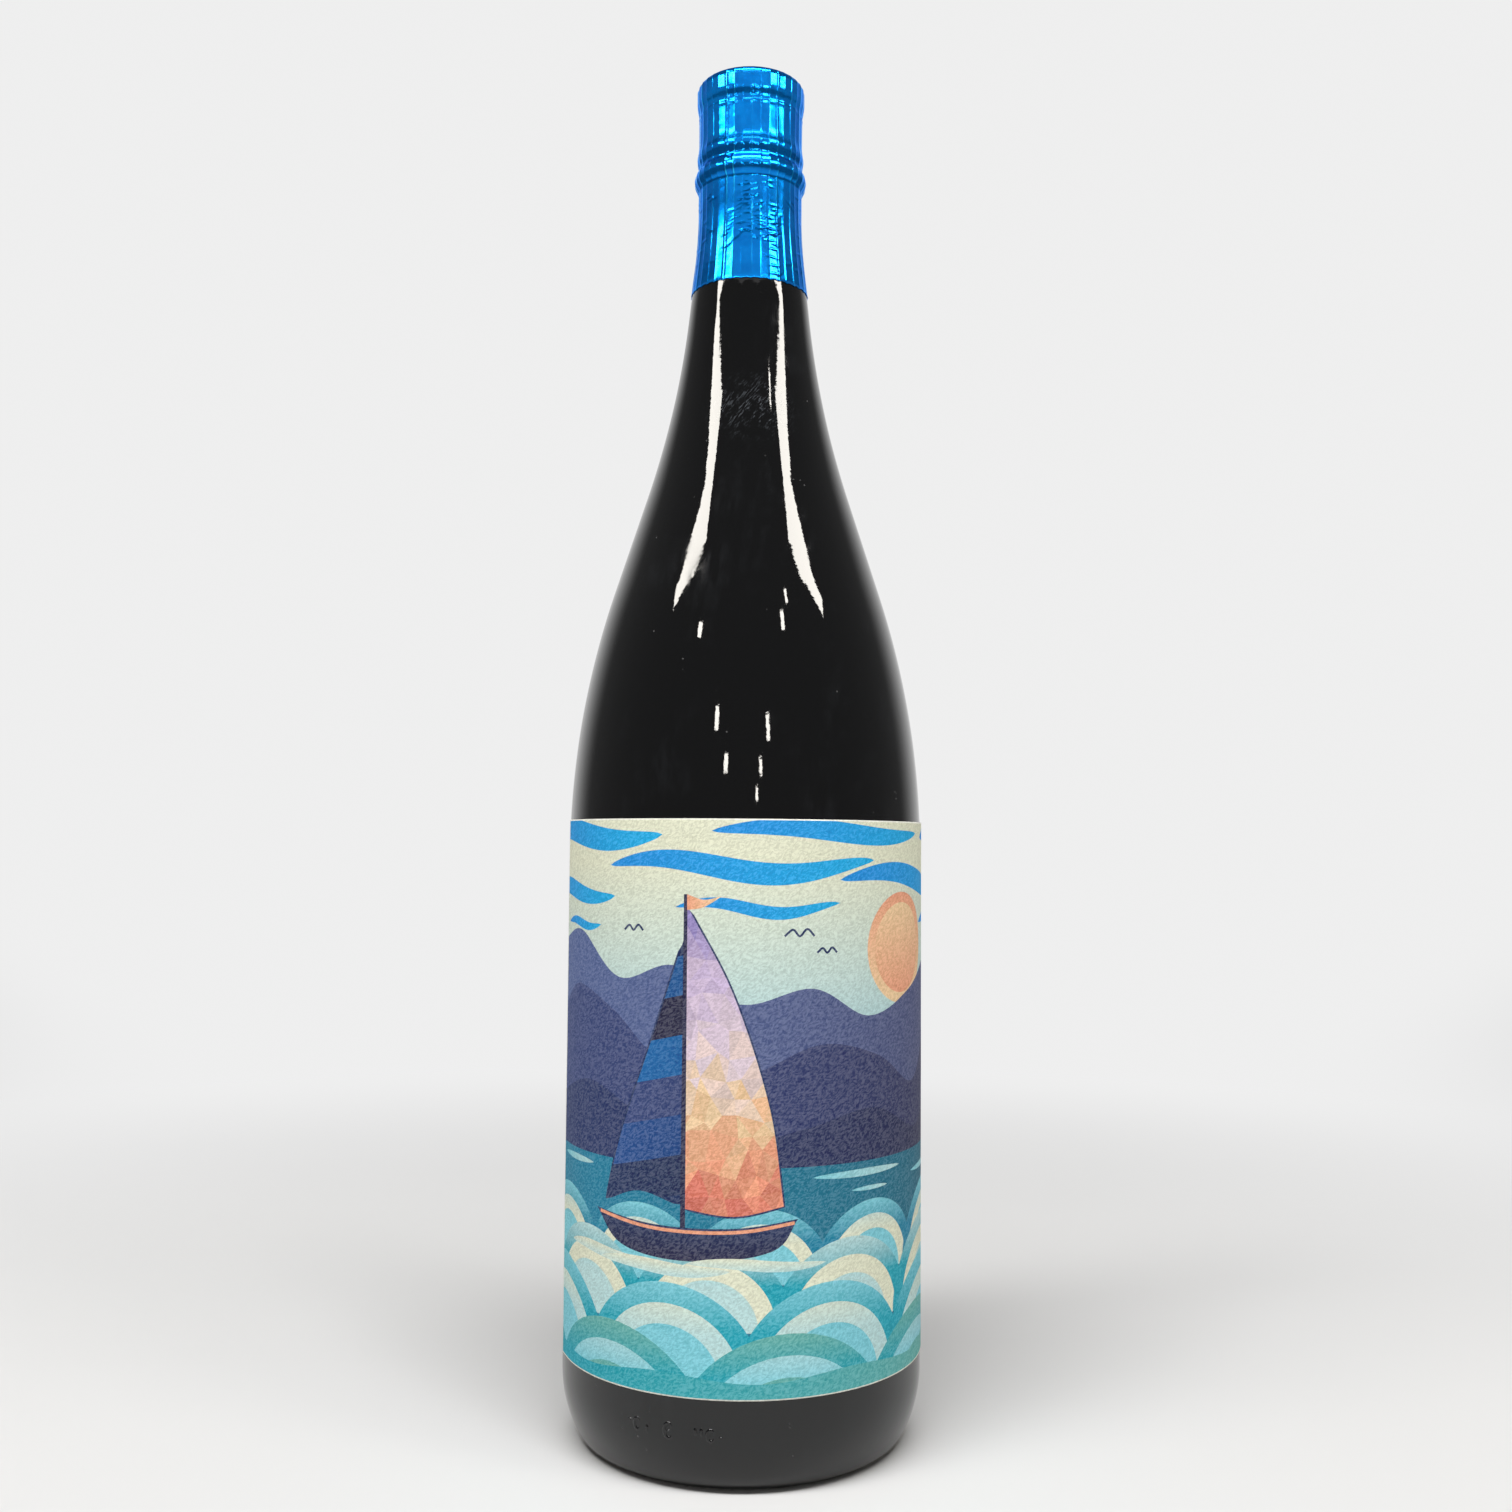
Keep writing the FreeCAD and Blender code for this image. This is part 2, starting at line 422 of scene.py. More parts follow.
def glass_finish():
    """Near-black bottle glass with an uneven skin, a greasy smear on the neck and specks of dust."""
    finish = Finish("black_glass", IOR=1.52, Specular_IOR_Level=0.5)
    place = finish.node("TexCoord", output="Object")
    smudge = finish.spread(finish.noise(place, 38, 5, 0.6), 0.5, 0.72)
    wipe = finish.grain(place, 35, (300, 60, 60), 3)
    film = finish.times(smudge, finish.spread(wipe, 0.42, 0.62))
    patch = finish.nearness(place, tuple(on_front(4, 0.019, 0.2965)), (0.016, 0.012, 0.016))
    strokes = finish.grain(place, -38, (2600, 2600, 420), axis=(0, 1, 0))
    strokes = finish.spread(strokes, 0.50, 0.66)
    broken = finish.spread(finish.noise(place, 330, 2, 0.6), 0.40, 0.58)
    smear = finish.times(finish.times(strokes, broken), patch)
    speck = finish.node("TexVoronoi", Vector=place, Scale=420, output="Distance")
    speck = finish.spread(speck, 0.07, 0.14, 1, 0)
    chosen = finish.spread(finish.noise(place, 90, 1), 0.62, 0.7)
    dust = finish.times(speck, chosen)
    glass = (0.0015, 0.0016, 0.0019, 1)
    filmed = finish.mix(film, glass, (0.006, 0.0065, 0.0075, 1))
    smeared = finish.mix(smear, filmed, (0.060, 0.068, 0.078, 1))
    colour = finish.mix(finish.times(dust, 0.5), smeared, grey(0.16))
    roughness = finish.sloped(film, 0.09, 0.02)
    roughness = finish.sloped(smear, 0.25, roughness)
    waves = finish.noise(place, 420, 1, 0.5)
    pores = finish.noise(place, 1150, 2, 0.6)
    normal = finish.bump(waves, 0.0085 * MM)
    normal = finish.bump(pores, 0.0030 * MM, normal=normal)
    return finish.done(Base_Color=colour, Roughness=roughness, Normal=normal)


def foil_finish():
    """Blue lacquered foil: smooth metal, with a painted highlight along the rib crests, where the lacquer
    is also worn thinner and brighter.
    """
    finish = Finish("blue_foil", Metallic=0.92, Coat_Weight=0.12, Coat_Roughness=0.05, Coat_IOR=1.5)
    finish.set(finish.shader, {"Specular Tint": (0.05, 0.55, 1.0, 1)})
    place = finish.node("TexCoord", output="Object")
    rib = finish.node("Attribute", output="Fac", options={"attribute_name": "rib"})
    cloud = finish.noise(place, 160, 3, 0.6)
    grain = finish.grain(place, 0, (5200, 5200, 240))
    patchy = finish.spread(cloud, 0.35, 0.65)
    flat = finish.mix(patchy, (0.0008, 0.185, 0.66, 1), (0.0012, 0.245, 0.79, 1))
    # Painted highlight: the base colour turns bright cyan on the rib crests, where the lacquer is also
    # worn thinner.
    colour = finish.mix(finish.spread(rib, 0.15, 0.85), flat, (0.02, 0.52, 1.0, 1))
    roughness = finish.sloped(cloud, 0.10, 0.10)
    height = finish.sloped(grain, 0.35, cloud)
    normal = finish.bump(height, 0.008 * MM)
    return finish.done(Base_Color=colour, Roughness=roughness, Normal=normal)


def paper_finish():
    """Printed leather-grained paper: the print is a colour attribute; the grain lies over it as bumps and
    as painted light and shade.
    """
    finish = Finish("label_paper", Roughness=0.74, Specular_IOR_Level=0.4)
    print_colour = finish.node("VertexColor", options={"layer_name": "print"})
    place = finish.node("Attribute", output="Vector", options={"attribute_name": "paper_mm"})
    warp = finish.node("TexNoise", output="Color", Vector=place, Scale=0.30, Detail=2)
    bent = finish.vector("ADD", place, finish.scaled(warp, 2.4))
    steep = finish.grain(bent, -52, (0.85, 2.1, 1))
    shallow = finish.grain(bent, -14, (0.80, 1.9, 1), 1.5, 0.55)
    mottle = finish.spread(finish.math("ADD", steep, shallow), 0.78, 1.22)
    fold = finish.grain(bent, -60, (0.42, 1.5, 1), roughness=0.5)
    fold = finish.math("ABSOLUTE", finish.math("SUBTRACT", fold, 0.5))
    fold = finish.spread(fold, 0.0, 0.035, 1, 0)
    tooth = finish.noise(place, 5.0, 2, 0.6)
    # Painted shade and light of the grain: the print is darkened and lightened with the mottle and the
    # tooth, and darkened in the folds.
    light = finish.sloped(mottle, 0.12, 0.94)
    light = finish.sloped(tooth, 0.12, finish.math("SUBTRACT", light, 0.06))
    light = finish.sloped(fold, -0.09, light)
    # Painted sheen: a pale veil over the dark inks along the grain's ridges, fainter in the folds.
    painted_grain_sheen = finish.sloped(mottle, 0.068, -0.038)
    painted_grain_sheen = finish.sloped(fold, -0.016, painted_grain_sheen)
    lifted = finish.vector("ADD", finish.scaled(print_colour, light), painted_grain_sheen)
    colour = finish.vector("MAXIMUM", lifted, (0.004, 0.004, 0.004))
    height = finish.sloped(fold, -0.5, mottle)
    height = finish.sloped(tooth, 0.4, height)
    normal = finish.bump(height, 0.020 * MM)
    return finish.done(Base_Color=colour, Normal=normal)


# --- the glass bottle ---

# How high the moulded waves and the two seams stand, and how far the skin lies inside the outline.
FREE_WAVES = 0.034 * MM
FINE_WAVES = 0.012 * MM
BODY_WAVES = 0.006 * MM
SEAM_HEIGHT = 0.04 * MM
SEAM_WIDTH = 0.4 * MM
SKIN_STEP = 0.045 * MM
CAPSULE_STEP = 0.1 * MM


def glass_angles():
    """Even columns round the bottle, with close ones at the two mould seams at +X and -X."""
    even = np.linspace(0, 2 * np.pi, 256, endpoint=False)
    close = np.array([-0.55, -0.3, 0.3, 0.55]) * MM / BODY_R
    extra = [side + close for side in (0, np.pi)]
    return np.unique(np.concatenate([even, *extra]) % (2 * np.pi))


def make_glass():
    pen = Outline(0, PUSH_UP, -90, 0.0022)
    draw_base(pen)
    draw_shoulder(pen)
    draw_neck(pen)
    draw_mouth(pen)
    radius, height = pen.grown()
    radius, height = radius[1:], height[1:]
    angles = glass_angles()
    z = column(height)
    long_waves = waves_round(angles, z, 1.1, 48.0, 1)
    short_waves = waves_round(angles, z, 2.6, 105.0, 2)
    free = step_up(z, 0.186, 0.205) * (1 - step_up(z, 0.330, 0.337))
    wobble = free * (FREE_WAVES * long_waves + FINE_WAVES * short_waves)
    wobble += step_up(z, 0.004, 0.012) * (1 - free) * BODY_WAVES * long_waves
    seam = SEAM_HEIGHT * np.exp(-((abs(np.sin(angles)) * BODY_R / SEAM_WIDTH) ** 2))
    above_seat = step_up(z, 0.003, 0.008) * (1 - step_up(z, 0.330, 0.336))
    under_capsule = step_up(z, CAPSULE_Z + 0.002, CAPSULE_Z + 0.005) * CAPSULE_STEP
    shell = column(radius) - under_capsule + wobble + above_seat * (seam - SKIN_STEP)
    mesh = turned_mesh("glass_shell", turned(shell, z, angles), PUSH_UP, MOUTH_Z)
    piece = new_piece("glass_shell", mesh, GLASS)
    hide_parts("glass_bottle")


# --- the foil capsule ---

# Columns across one pleat: close on the rib at its crease and wide on the facet between two ribs.
COLUMN_SHARES = (0.0, 0.06, 0.14, 0.30, 0.50, 0.70, 0.86, 0.94)
RIB_REACH = 0.15
RIB_HEIGHT = 0.10 * MM
FACET_HOLLOW = 0.010 * MM
FACET_TILT = 0.014 * MM
FOIL_SWAY = 0.022 * MM
FOIL_CRIMP = 0.010 * MM
FOIL_DROP = 0.03 * MM
ROLL_Z = 0.39435
ROLL_HEIGHT = 0.11 * MM
LIP_HEIGHT = 0.10 * MM
EDGE_SWAY = 0.0022
FINE_STEP = 0.25 * MM
WIDE_STEP = 0.42 * MM
NECK_R = 0.0152

# The flat top, from its rim inwards: shares of its radius, and depths in mm at some of them.
TOP_SHARES = (0.985, 0.965, 0.94, 0.91, 0.875, 0.84, 0.80, 0.77, 0.74, 0.70, 0.60, 0.45, 0.30, 0.15)
DISH = ((0.15, 0.42), (0.70, 0.42), (0.74, 0.46), (0.77, 0.60), (0.80, 0.46), (0.90, 0.40),
        (0.965, 0.12), (1.0, 0.0))
RAY_HEIGHT = 0.10 * MM


def foil_outline():
    """Radii and heights along the creases of the outer face, from the lower edge to the top."""
    pen = neck_pen(CAPSULE_Z, FINE_STEP)
    draw_neck(pen)
    pen.arc(FOLD_ROOT_R, -FOLD_UNDER_LEAN)
    pen.arc(FOLD_CREST_R, FOLD_OVER_LEAN)
    pen.arc(FOLD_TOP_R, WAIST_LEAN)
    pen.step = WIDE_STEP
    pen.rise_to(WAIST_TOP_Z)
    pen.step = FINE_STEP
    pen.arc(WAIST_ROOT_R, 0)
    pen.flare(BAND_Z - WAIST_TOP_Z, BAND_FLARE)
    pen.rise_to(CAPSULE_TOP - BAND_EDGE_R)
    pen.arc(BAND_EDGE_R - GAP - FOIL, 90)
    radius, height = pen.grown(GAP + FOIL)
    return radius, np.minimum(height, CAPSULE_TOP)


def crinkle_marks():
    """Small ridges in the foil: turn from the front, height, slant, half-length, half-width, rise."""
    rng = random.Random(12)
    gauss, between = rng.gauss, rng.uniform
    marks = []
    for _ in range(54):  # short level dashes up the middle
        marks.append((gauss(5, 11), between(352, 370), gauss(2, 16), between(0.45, 0.95), 0.27, 0.085))
    for _ in range(12):  # longer level dashes towards the right
        marks.append((between(12, 30), between(350, 364), gauss(0, 8), between(0.9, 1.5), 0.30, 0.10))
    for k in range(9):  # two bows that rise from the left
        marks.append((-27 + 2.6 * k, 353.5 + 1.5 * k, 42 + between(-8, 8), 1.3, 0.28, 0.055))
    for k in range(8):
        marks.append((-26 + 3.0 * k, 349.5 + 0.8 * k, 26 + between(-8, 8), 1.1, 0.28, 0.055))
    for k in range(15):  # a ladder of slanted dashes down the right, with a few level ones beside it
        marks.append((32 + between(-1, 1), 341.5 + 1.25 * k, 50 + between(-8, 8), 1.25, 0.30, 0.12))
    for k in range(5):
        marks.append((24 + between(-1, 1), 341 + 2.6 * k, between(-12, 4), 1.1, 0.32, 0.11))
    for _ in range(110):  # loose crinkles round the sides and back, and faint ones on the waist
        turn, level = between(42, 318), between(343, 370)
        marks.append((turn, level, gauss(0, 26), between(0.5, 1.6), 0.32, 0.075))
    for _ in range(26):
        marks.append((between(0, 360), between(387, 402), gauss(0, 14), between(0.5, 1.1), 0.34, 0.03))
    return marks


def crinkled(angles, height):
    total = np.zeros(np.broadcast(angles, height).shape)
    for turn, z, slant, length, width, rise in crinkle_marks():
        across = (angles - FRONT - math.radians(turn) + np.pi) % (2 * np.pi) - np.pi
        right, up = across * NECK_R / MM, height / MM - z
        lean = math.radians(slant)
        along = right * math.cos(lean) + up * math.sin(lean)
        side = up * math.cos(lean) - right * math.sin(lean)
        total += rise * MM * np.exp(-((along / length) ** 2) - (side / width) ** 2)
    return total


def make_capsule():
    radius, height = foil_outline()
    step = 360 / PLEATS
    pleats = np.arange(PLEATS + 1)
    uneven = PLEAT_JITTER * np.sin(2.4 * (pleats % PLEATS))
    creases = np.radians(FIRST_CREASE + step * (pleats + uneven))
    creases[-1] = creases[0] + 2 * np.pi
    share = np.tile(COLUMN_SHARES, PLEATS)
    pleat = np.repeat(np.arange(PLEATS), len(COLUMN_SHARES))
    width = np.diff(creases)[pleat]
    angles = creases[pleat] + share * width
    z = column(height)

    # Flat facets between ribs; each one is hollowed and tilted by a little and has its own level.
    rng = np.random.default_rng(5)
    tilt = rng.uniform(-1, 1, PLEATS)[pleat]
    shift = rng.uniform(-1, 1, PLEATS)[pleat]
    nearest = np.where(share < 0.5, pleat, (pleat + 1) % PLEATS)
    strength = rng.uniform(0.55, 1.15, PLEATS)[nearest]
    facet = np.cos(width / 2) / np.cos((share - 0.5) * width)
    hollow = 4 * share * (1 - share)
    rib = step_up(1 - np.minimum(share, 1 - share) / RIB_REACH, 0, 1)

    sway = waves_round(angles, z / MM, 5.0, 1 / 12.0, 3)
    swell = waves_round(angles, z / MM, 3.0, 1 / 9.0, 6)
    crimp = waves_round(angles, z / MM, 9.0, 1 / 1.8, 4)
    ribs = rib * strength * (0.75 + 0.5 * swell)
    free = column(1 - step_up(height, CAPSULE_TOP - 0.0014, CAPSULE_TOP - 0.0003))
    rolled = np.exp(-(((z - ROLL_Z - 0.00025 * shift) / 0.00042) ** 2))
    lip = column(np.exp(-(height - height[0]) / 0.00035))
    relief = RIB_HEIGHT * ribs - FACET_HOLLOW * hollow
    relief = relief + FACET_TILT * tilt * (share - 0.5) * 2 * (1 - rib)
    relief = relief + FOIL_SWAY * sway + FOIL_CRIMP * crimp * (1 - rib)
    relief = relief + ROLL_HEIGHT * rolled + crinkled(angles, z) - FOIL_DROP
    outer_r = column(radius) * facet + relief * free + LIP_HEIGHT * lip
    edge = (0.30 * hollow + 0.10 * np.sin(3 * angles + 1.0) + 0.08 * shift) * MM
    outer_z = z + column(np.exp(-(height - height[0]) / EDGE_SWAY)) * (edge + 0.10 * MM)
    outer = turned(outer_r, outer_z, angles + 0.010 * sway * free)

    # The flat top: a rounded rim, a shallow dish and a plain disc, with the pleats running in as rays.
    top_r = radius[-1]
    inward = np.array(TOP_SHARES)
    dish = np.interp(inward, *zip(*DISH))
    ray = (inward > 0.78) * step_up(1 - inward, 0.0, 0.05)
    rays = RAY_HEIGHT * column(ray) * (ribs[-1] - 0.5)
    top_z = CAPSULE_TOP - column(dish) * MM + rays - 0.02 * MM
    top = turned(column(top_r * inward) * facet, top_z, angles)

    # The inner wall lies on the glass and closes over the mouth.
    inner_pen = neck_pen(CAPSULE_Z, 0.006)
    draw_neck(inner_pen)
    draw_mouth(inner_pen)
    inner_r, inner_z = inner_pen.grown(GAP)
    inner = turned(column(inner_r), column(inner_z), angles)
    inner[0, :, 2] = outer[0, :, 2] + 0.01 * MM

    rings = np.concatenate([inner[::-1], outer, top])
    mesh = turned_mesh("capsule_foil", rings, inner_z[-1], top[-1, 0, 2])
    # The rib crests get a painted highlight: this attribute makes the foil's base colour bright cyan
    # there.
    crest_highlight = np.zeros(rings.shape[:2])
    crest_highlight[len(inner):len(inner) + len(outer)] = np.clip(ribs, 0, 1) ** 2 * free
    crest_highlight_layer = mesh.attributes.new("rib", "FLOAT", "POINT")
    crest_highlight_layer.data.foreach_set("value", np.concatenate([crest_highlight.ravel(), [0, 0]]))
    piece = new_piece("capsule_foil", mesh, FOIL_BLUE)
    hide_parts("foil_capsule")


# --- the label's printed design ---
# Places on the label are in millimetres: u runs right from the middle, v up from the lower edge.

SIDE = LABEL_WIDTH / MM / 2
HEIGHT = LABEL_HEIGHT / MM
MARGIN = 0.35
PRINTED = ((-SIDE + MARGIN, MARGIN), (SIDE - MARGIN, HEIGHT - MARGIN))

PAPER_WHITE = srgb(232, 231, 220)
CREAM = srgb(222, 224, 200)
HAZE = srgb(176, 209, 212)
SKY_BLUE = srgb(34, 142, 220)
CYAN = srgb(20, 172, 226)
INDIGO = srgb(76, 88, 134)
DEEP_INDIGO = srgb(62, 62, 86)
NAVY = srgb(58, 70, 104)
CORAL = srgb(214, 120, 104)
ORANGE = srgb(232, 160, 128)
PEACH = srgb(238, 206, 162)
PINK = srgb(222, 204, 214)
LILAC = srgb(199, 180, 210)
PURPLE = srgb(150, 138, 194)
TEAL = srgb(46, 133, 163)
DARK_TEAL = srgb(50, 108, 128)
AQUA = srgb(128, 202, 215)
ICE = srgb(184, 216, 216)
BRIGHT_TEAL = srgb(33, 161, 180)
SEA_GREEN = srgb(109, 176, 168)


def closely(outline, most=1.7):
    """The same outline with no edge longer than that, so that the print can bend round the bottle."""
    points = []
    for first, second in zip(outline, list(outline[1:]) + [outline[0]]):
        first, second = np.array(first, float), np.array(second, float)
        count = max(1, math.ceil(np.linalg.norm(second - first) / most))
        points += [first + (second - first) * k / count for k in range(count)]
    return np.array(points)


class Print:
    """Flat shapes in one pile: each later one lies over the earlier ones."""

    def __init__(self):
        self.shapes = []

    def fill(self, outline, colour, second=None, start=(0, 0), end=(0, 1), clip=None):
        """A shape in one colour, or in a gradient from start to end."""
        outline = np.clip(closely(outline), *PRINTED)
        second = colour if second is None else second
        start, end = np.array(start, float), np.array(end, float)
        self.shapes.append((outline, colour, second, start, end, clip))


def inside(points, outline):
    """Which points lie inside a closed outline."""
    found = np.zeros(len(points), bool)
    low, high = outline.min(0), outline.max(0)
    near = np.where(((points >= low) & (points <= high)).all(1))[0]
    x, y = points[near].T
    odd = np.zeros(len(near), bool)
    for (x0, y0), (x1, y1) in zip(outline, np.roll(outline, -1, axis=0)):
        if y0 != y1:
            crosses = (y0 > y) != (y1 > y)
            odd ^= crosses & (x < (x1 - x0) * (y - y0) / (y1 - y0) + x0)
    found[near] = odd
    return found


def circle_points(u, v, radius, first=0, last=360, step=9):
    count = max(3, round(abs(last - first) / step))
    angles = np.radians(np.linspace(first, last, count + 1))
    return [(u + radius * math.cos(a), v + radius * math.sin(a)) for a in angles]


def oblong(half, foot, head):
    return [(-half, foot), (half, foot), (half, head), (-half, head)]


def disc(u, v, radius):
    return circle_points(u, v, radius)[:-1]


def ribbon(left, right, v, thickness, rise=0.0, bends=1.0):
    """A band that waves up and down and runs to a point at both ends."""
    share = np.linspace(0, 1, max(12, round((right - left) / 1.6)))
    u = left + (right - left) * share
    middle = v + rise * np.sin(2 * np.pi * bends * share)
    half = thickness / 2 * np.sin(np.pi * share) ** 0.6
    upper = np.stack([u, middle + half], axis=1)
    lower = np.stack([u, middle - half], axis=1)[1:-1]
    return np.vstack([upper, lower[::-1]])


def curve(points, count=10):
    """A smooth line through the points."""
    points = np.array(points, float)
    padded = np.vstack([2 * points[0] - points[1], points, 2 * points[-1] - points[-2]])
    line = []
    for a, b, c, d in zip(padded, padded[1:], padded[2:], padded[3:]):
        for t in np.arange(count) / count:
            square, cube = 2 * a - 5 * b + 4 * c - d, 3 * b - a - 3 * c + d
            line.append(0.5 * (2 * b + (c - a) * t + square * t**2 + cube * t**3))
    line.append(points[-1])
    return [tuple(point) for point in line]


def two_curves(first, second, first_count, second_count):
    """One outline of two smooth lines, the second of which starts where the first ends."""
    return curve(first, first_count) + curve([first[-1], *second], second_count)[1:]


def stroke(points, thickness):
    """A line of that thickness with square ends."""
    points = np.array(points, float)
    run = np.gradient(points, axis=0)
    side = np.stack([-run[:, 1], run[:, 0]], axis=1)
    side *= thickness / 2 / np.linalg.norm(side, axis=1, keepdims=True)
    return np.vstack([points + side, (points - side)[::-1]])


def widened(outline, by):
    """A closed outline moved outwards all round."""
    points = np.array(outline, float)
    after = np.roll(points, -1, axis=0)
    run = after - np.roll(points, 1, axis=0)
    side = np.stack([run[:, 1], -run[:, 0]], axis=1) / np.linalg.norm(run, axis=1, keepdims=True)
    area = np.sum(points[:, 0] * after[:, 1] - after[:, 0] * points[:, 1])
    return points + side * by * np.sign(area)


def filled_triangle(triangle, steps=8):
    """Evenly spaced points all over a triangle."""
    a, b, c = np.array(triangle, float)
    shares = [(i, j) for i in range(steps + 1) for j in range(steps + 1 - i)]
    return np.array([a + (b - a) * i / steps + (c - a) * j / steps for i, j in shares])


def facets(outline, size, seed):
    """Triangles of an uneven lattice that covers the outline, with their middles."""
    rng = random.Random(seed)
    low = np.min(outline, axis=0) - size
    high = np.max(outline, axis=0) + size
    columns = math.ceil((high[0] - low[0]) / size) + 1
    rows = math.ceil((high[1] - low[1]) / size) + 1
    corners = [[] for _ in range(rows)]
    for row, line in enumerate(corners):
        for place in range(columns):
            shift = size * 0.5 * (row % 2)
            u = low[0] + place * size + shift + rng.uniform(-0.34, 0.34) * size
            line.append((u, low[1] + row * size + rng.uniform(-0.34, 0.34) * size))
    triangles = []
    for row, (lower, upper) in enumerate(zip(corners, corners[1:])):
        for a, b, c, d in zip(lower, lower[1:], upper, upper[1:]):
            triangles += [(a, b, c), (b, d, c)] if row % 2 == 0 else [(a, b, d), (a, d, c)]
    return triangles


def ramp(stops, share):
    """The colour at that share of a row of (share, colour) stops."""
    places = [stop[0] for stop in stops]
    return np.array([np.interp(share, places, [stop[1][k] for stop in stops]) for k in range(4)])


def draw_sky(page):
    page.fill(oblong(SIDE, 0, HEIGHT), HAZE, CREAM, (0, 96), (0, 140))
    page.fill(disc(41, 117, 15.5), PEACH, ORANGE, (41, 103), (41, 133))
    page.fill(disc(41, 117, 12.6), ORANGE, PEACH, (41, 104), (41, 130))
    winds = (  # each one's left and right end, height, thickness, rise and bends
        (-96, -34, 148.0, 7.0, 1.6, 1.0), (-52, 28, 139.5, 6.2, 2.0, 1.2), (-20, 52, 149.0, 5.6, 1.2, 1.0),
        (16, 94, 136.0, 6.6, 2.2, 1.1), (58, 100, 148.0, 6.0, 1.4, 0.8), (-96, -50, 132.0, 5.2, 1.6, 0.9),
        (-30, 16, 128.5, 3.6, 1.4, 1.2), (56, 98, 123.5, 4.2, 1.4, 1.0), (-78, -56, 123.0, 2.6, 0.8, 1.0),
    )
    for wind in winds:
        left, right, v = wind[:3]
        page.fill(ribbon(*wind), SKY_BLUE, CYAN, (left, v), (right, v))


def draw_hills(page):
    far = [(-82, 118), (-66, 121), (-48, 109), (-30, 113), (-12, 103)]
    far += [(8, 107), (26, 99), (46, 105), (64, 112), (82, 108)]
    near = [(-82, 98), (-68, 106), (-50, 100), (-34, 88), (-12, 84)]
    near += [(10, 92), (30, 88), (48, 79), (64, 90), (82, 98)]
    low = [(-82, 74), (-60, 80), (-40, 73), (-16, 66), (6, 70), (28, 74), (50, 66), (66, 72), (82, 78)]
    for line, left, right in (
        (far, srgb(96, 112, 158), srgb(84, 88, 122)),
        (near, INDIGO, srgb(66, 66, 94)),
        (low, srgb(62, 74, 116), DEEP_INDIGO),
    ):
        outline = curve(line) + [(SIDE + 2, 40), (-SIDE - 2, 40)]
        page.fill(outline, left, right, (-SIDE, 0), (SIDE, 0))


def wave_row(page, v, pitch, height, shift, colours):
    """A row of round swells, each with bands that follow its crest."""
    count = math.ceil(2 * SIDE / pitch) + 2
    radius = (pitch**2 / 4 + height**2) / (2 * height)
    for k in range(count):
        u = -SIDE - pitch + shift + k * pitch
        for band, colour in enumerate(colours):
            inner = radius - band * height * 0.42
            if inner > 0:
                outline = circle_points(u, v + height - radius, inner, 0, 180, 6)
                page.fill(outline, colour[0], colour[1], (u, v), (u, v + height))


def draw_sea(page):
    page.fill(oblong(SIDE, 0, 60), TEAL, DARK_TEAL, (-60, 0), (70, 0))
    glints = ((-78, -58, 57.5, 1.8), (8, 40, 57.0, 2.0), (48, 76, 53.8, 1.8), (20, 34, 52.6, 1.2))
    for left, right, v, height in glints:
        page.fill(ribbon(left, right, v, height), AQUA, ICE, (left, v), (right, v))
    rows = (
        (40, 34, 9.5, 6, ((TEAL, AQUA), (CREAM, ICE), (AQUA, TEAL))),
        (29, 40, 11.5, 20, ((BRIGHT_TEAL, ICE), (CREAM, CREAM), (ICE, AQUA))),
        (16.5, 46, 13.0, 2, ((BRIGHT_TEAL, AQUA), (ICE, CREAM), (AQUA, BRIGHT_TEAL))),
        (3.5, 52, 13.5, 30, ((BRIGHT_TEAL, SEA_GREEN), (AQUA, ICE), (SEA_GREEN, BRIGHT_TEAL))),
    )
    for row in rows:
        wave_row(page, *row)
    crests = [(-86, 5.5), (-60, 3.6), (-34, 6.2), (-6, 4.2), (20, 6.4), (48, 4.4), (72, 6.6), (88, 4.8)]
    swell = curve(crests, 12) + [(SIDE + 4, 0), (-SIDE - 4, 0)]
    page.fill(swell, BRIGHT_TEAL, SEA_GREEN, (-70, 0), (70, 0))


def sail_facets(page, outline, size, seed, stops):
    """Fills a sail with triangles whose colours run through the stops from its foot to its head."""
    rng = random.Random(seed)
    low, high = outline[:, 1].min(), outline[:, 1].max()
    for triangle in facets(outline, size, seed):
        middle = np.mean(triangle, axis=0)
        share = (middle[1] - low) / (high - low) + rng.uniform(-0.09, 0.09)
        colour = ramp(stops, min(1, max(0, share))) * rng.uniform(0.84, 1.08)
        if inside(filled_triangle(triangle), outline).any():
            page.fill(triangle, np.append(colour[:3], 1), clip=outline)


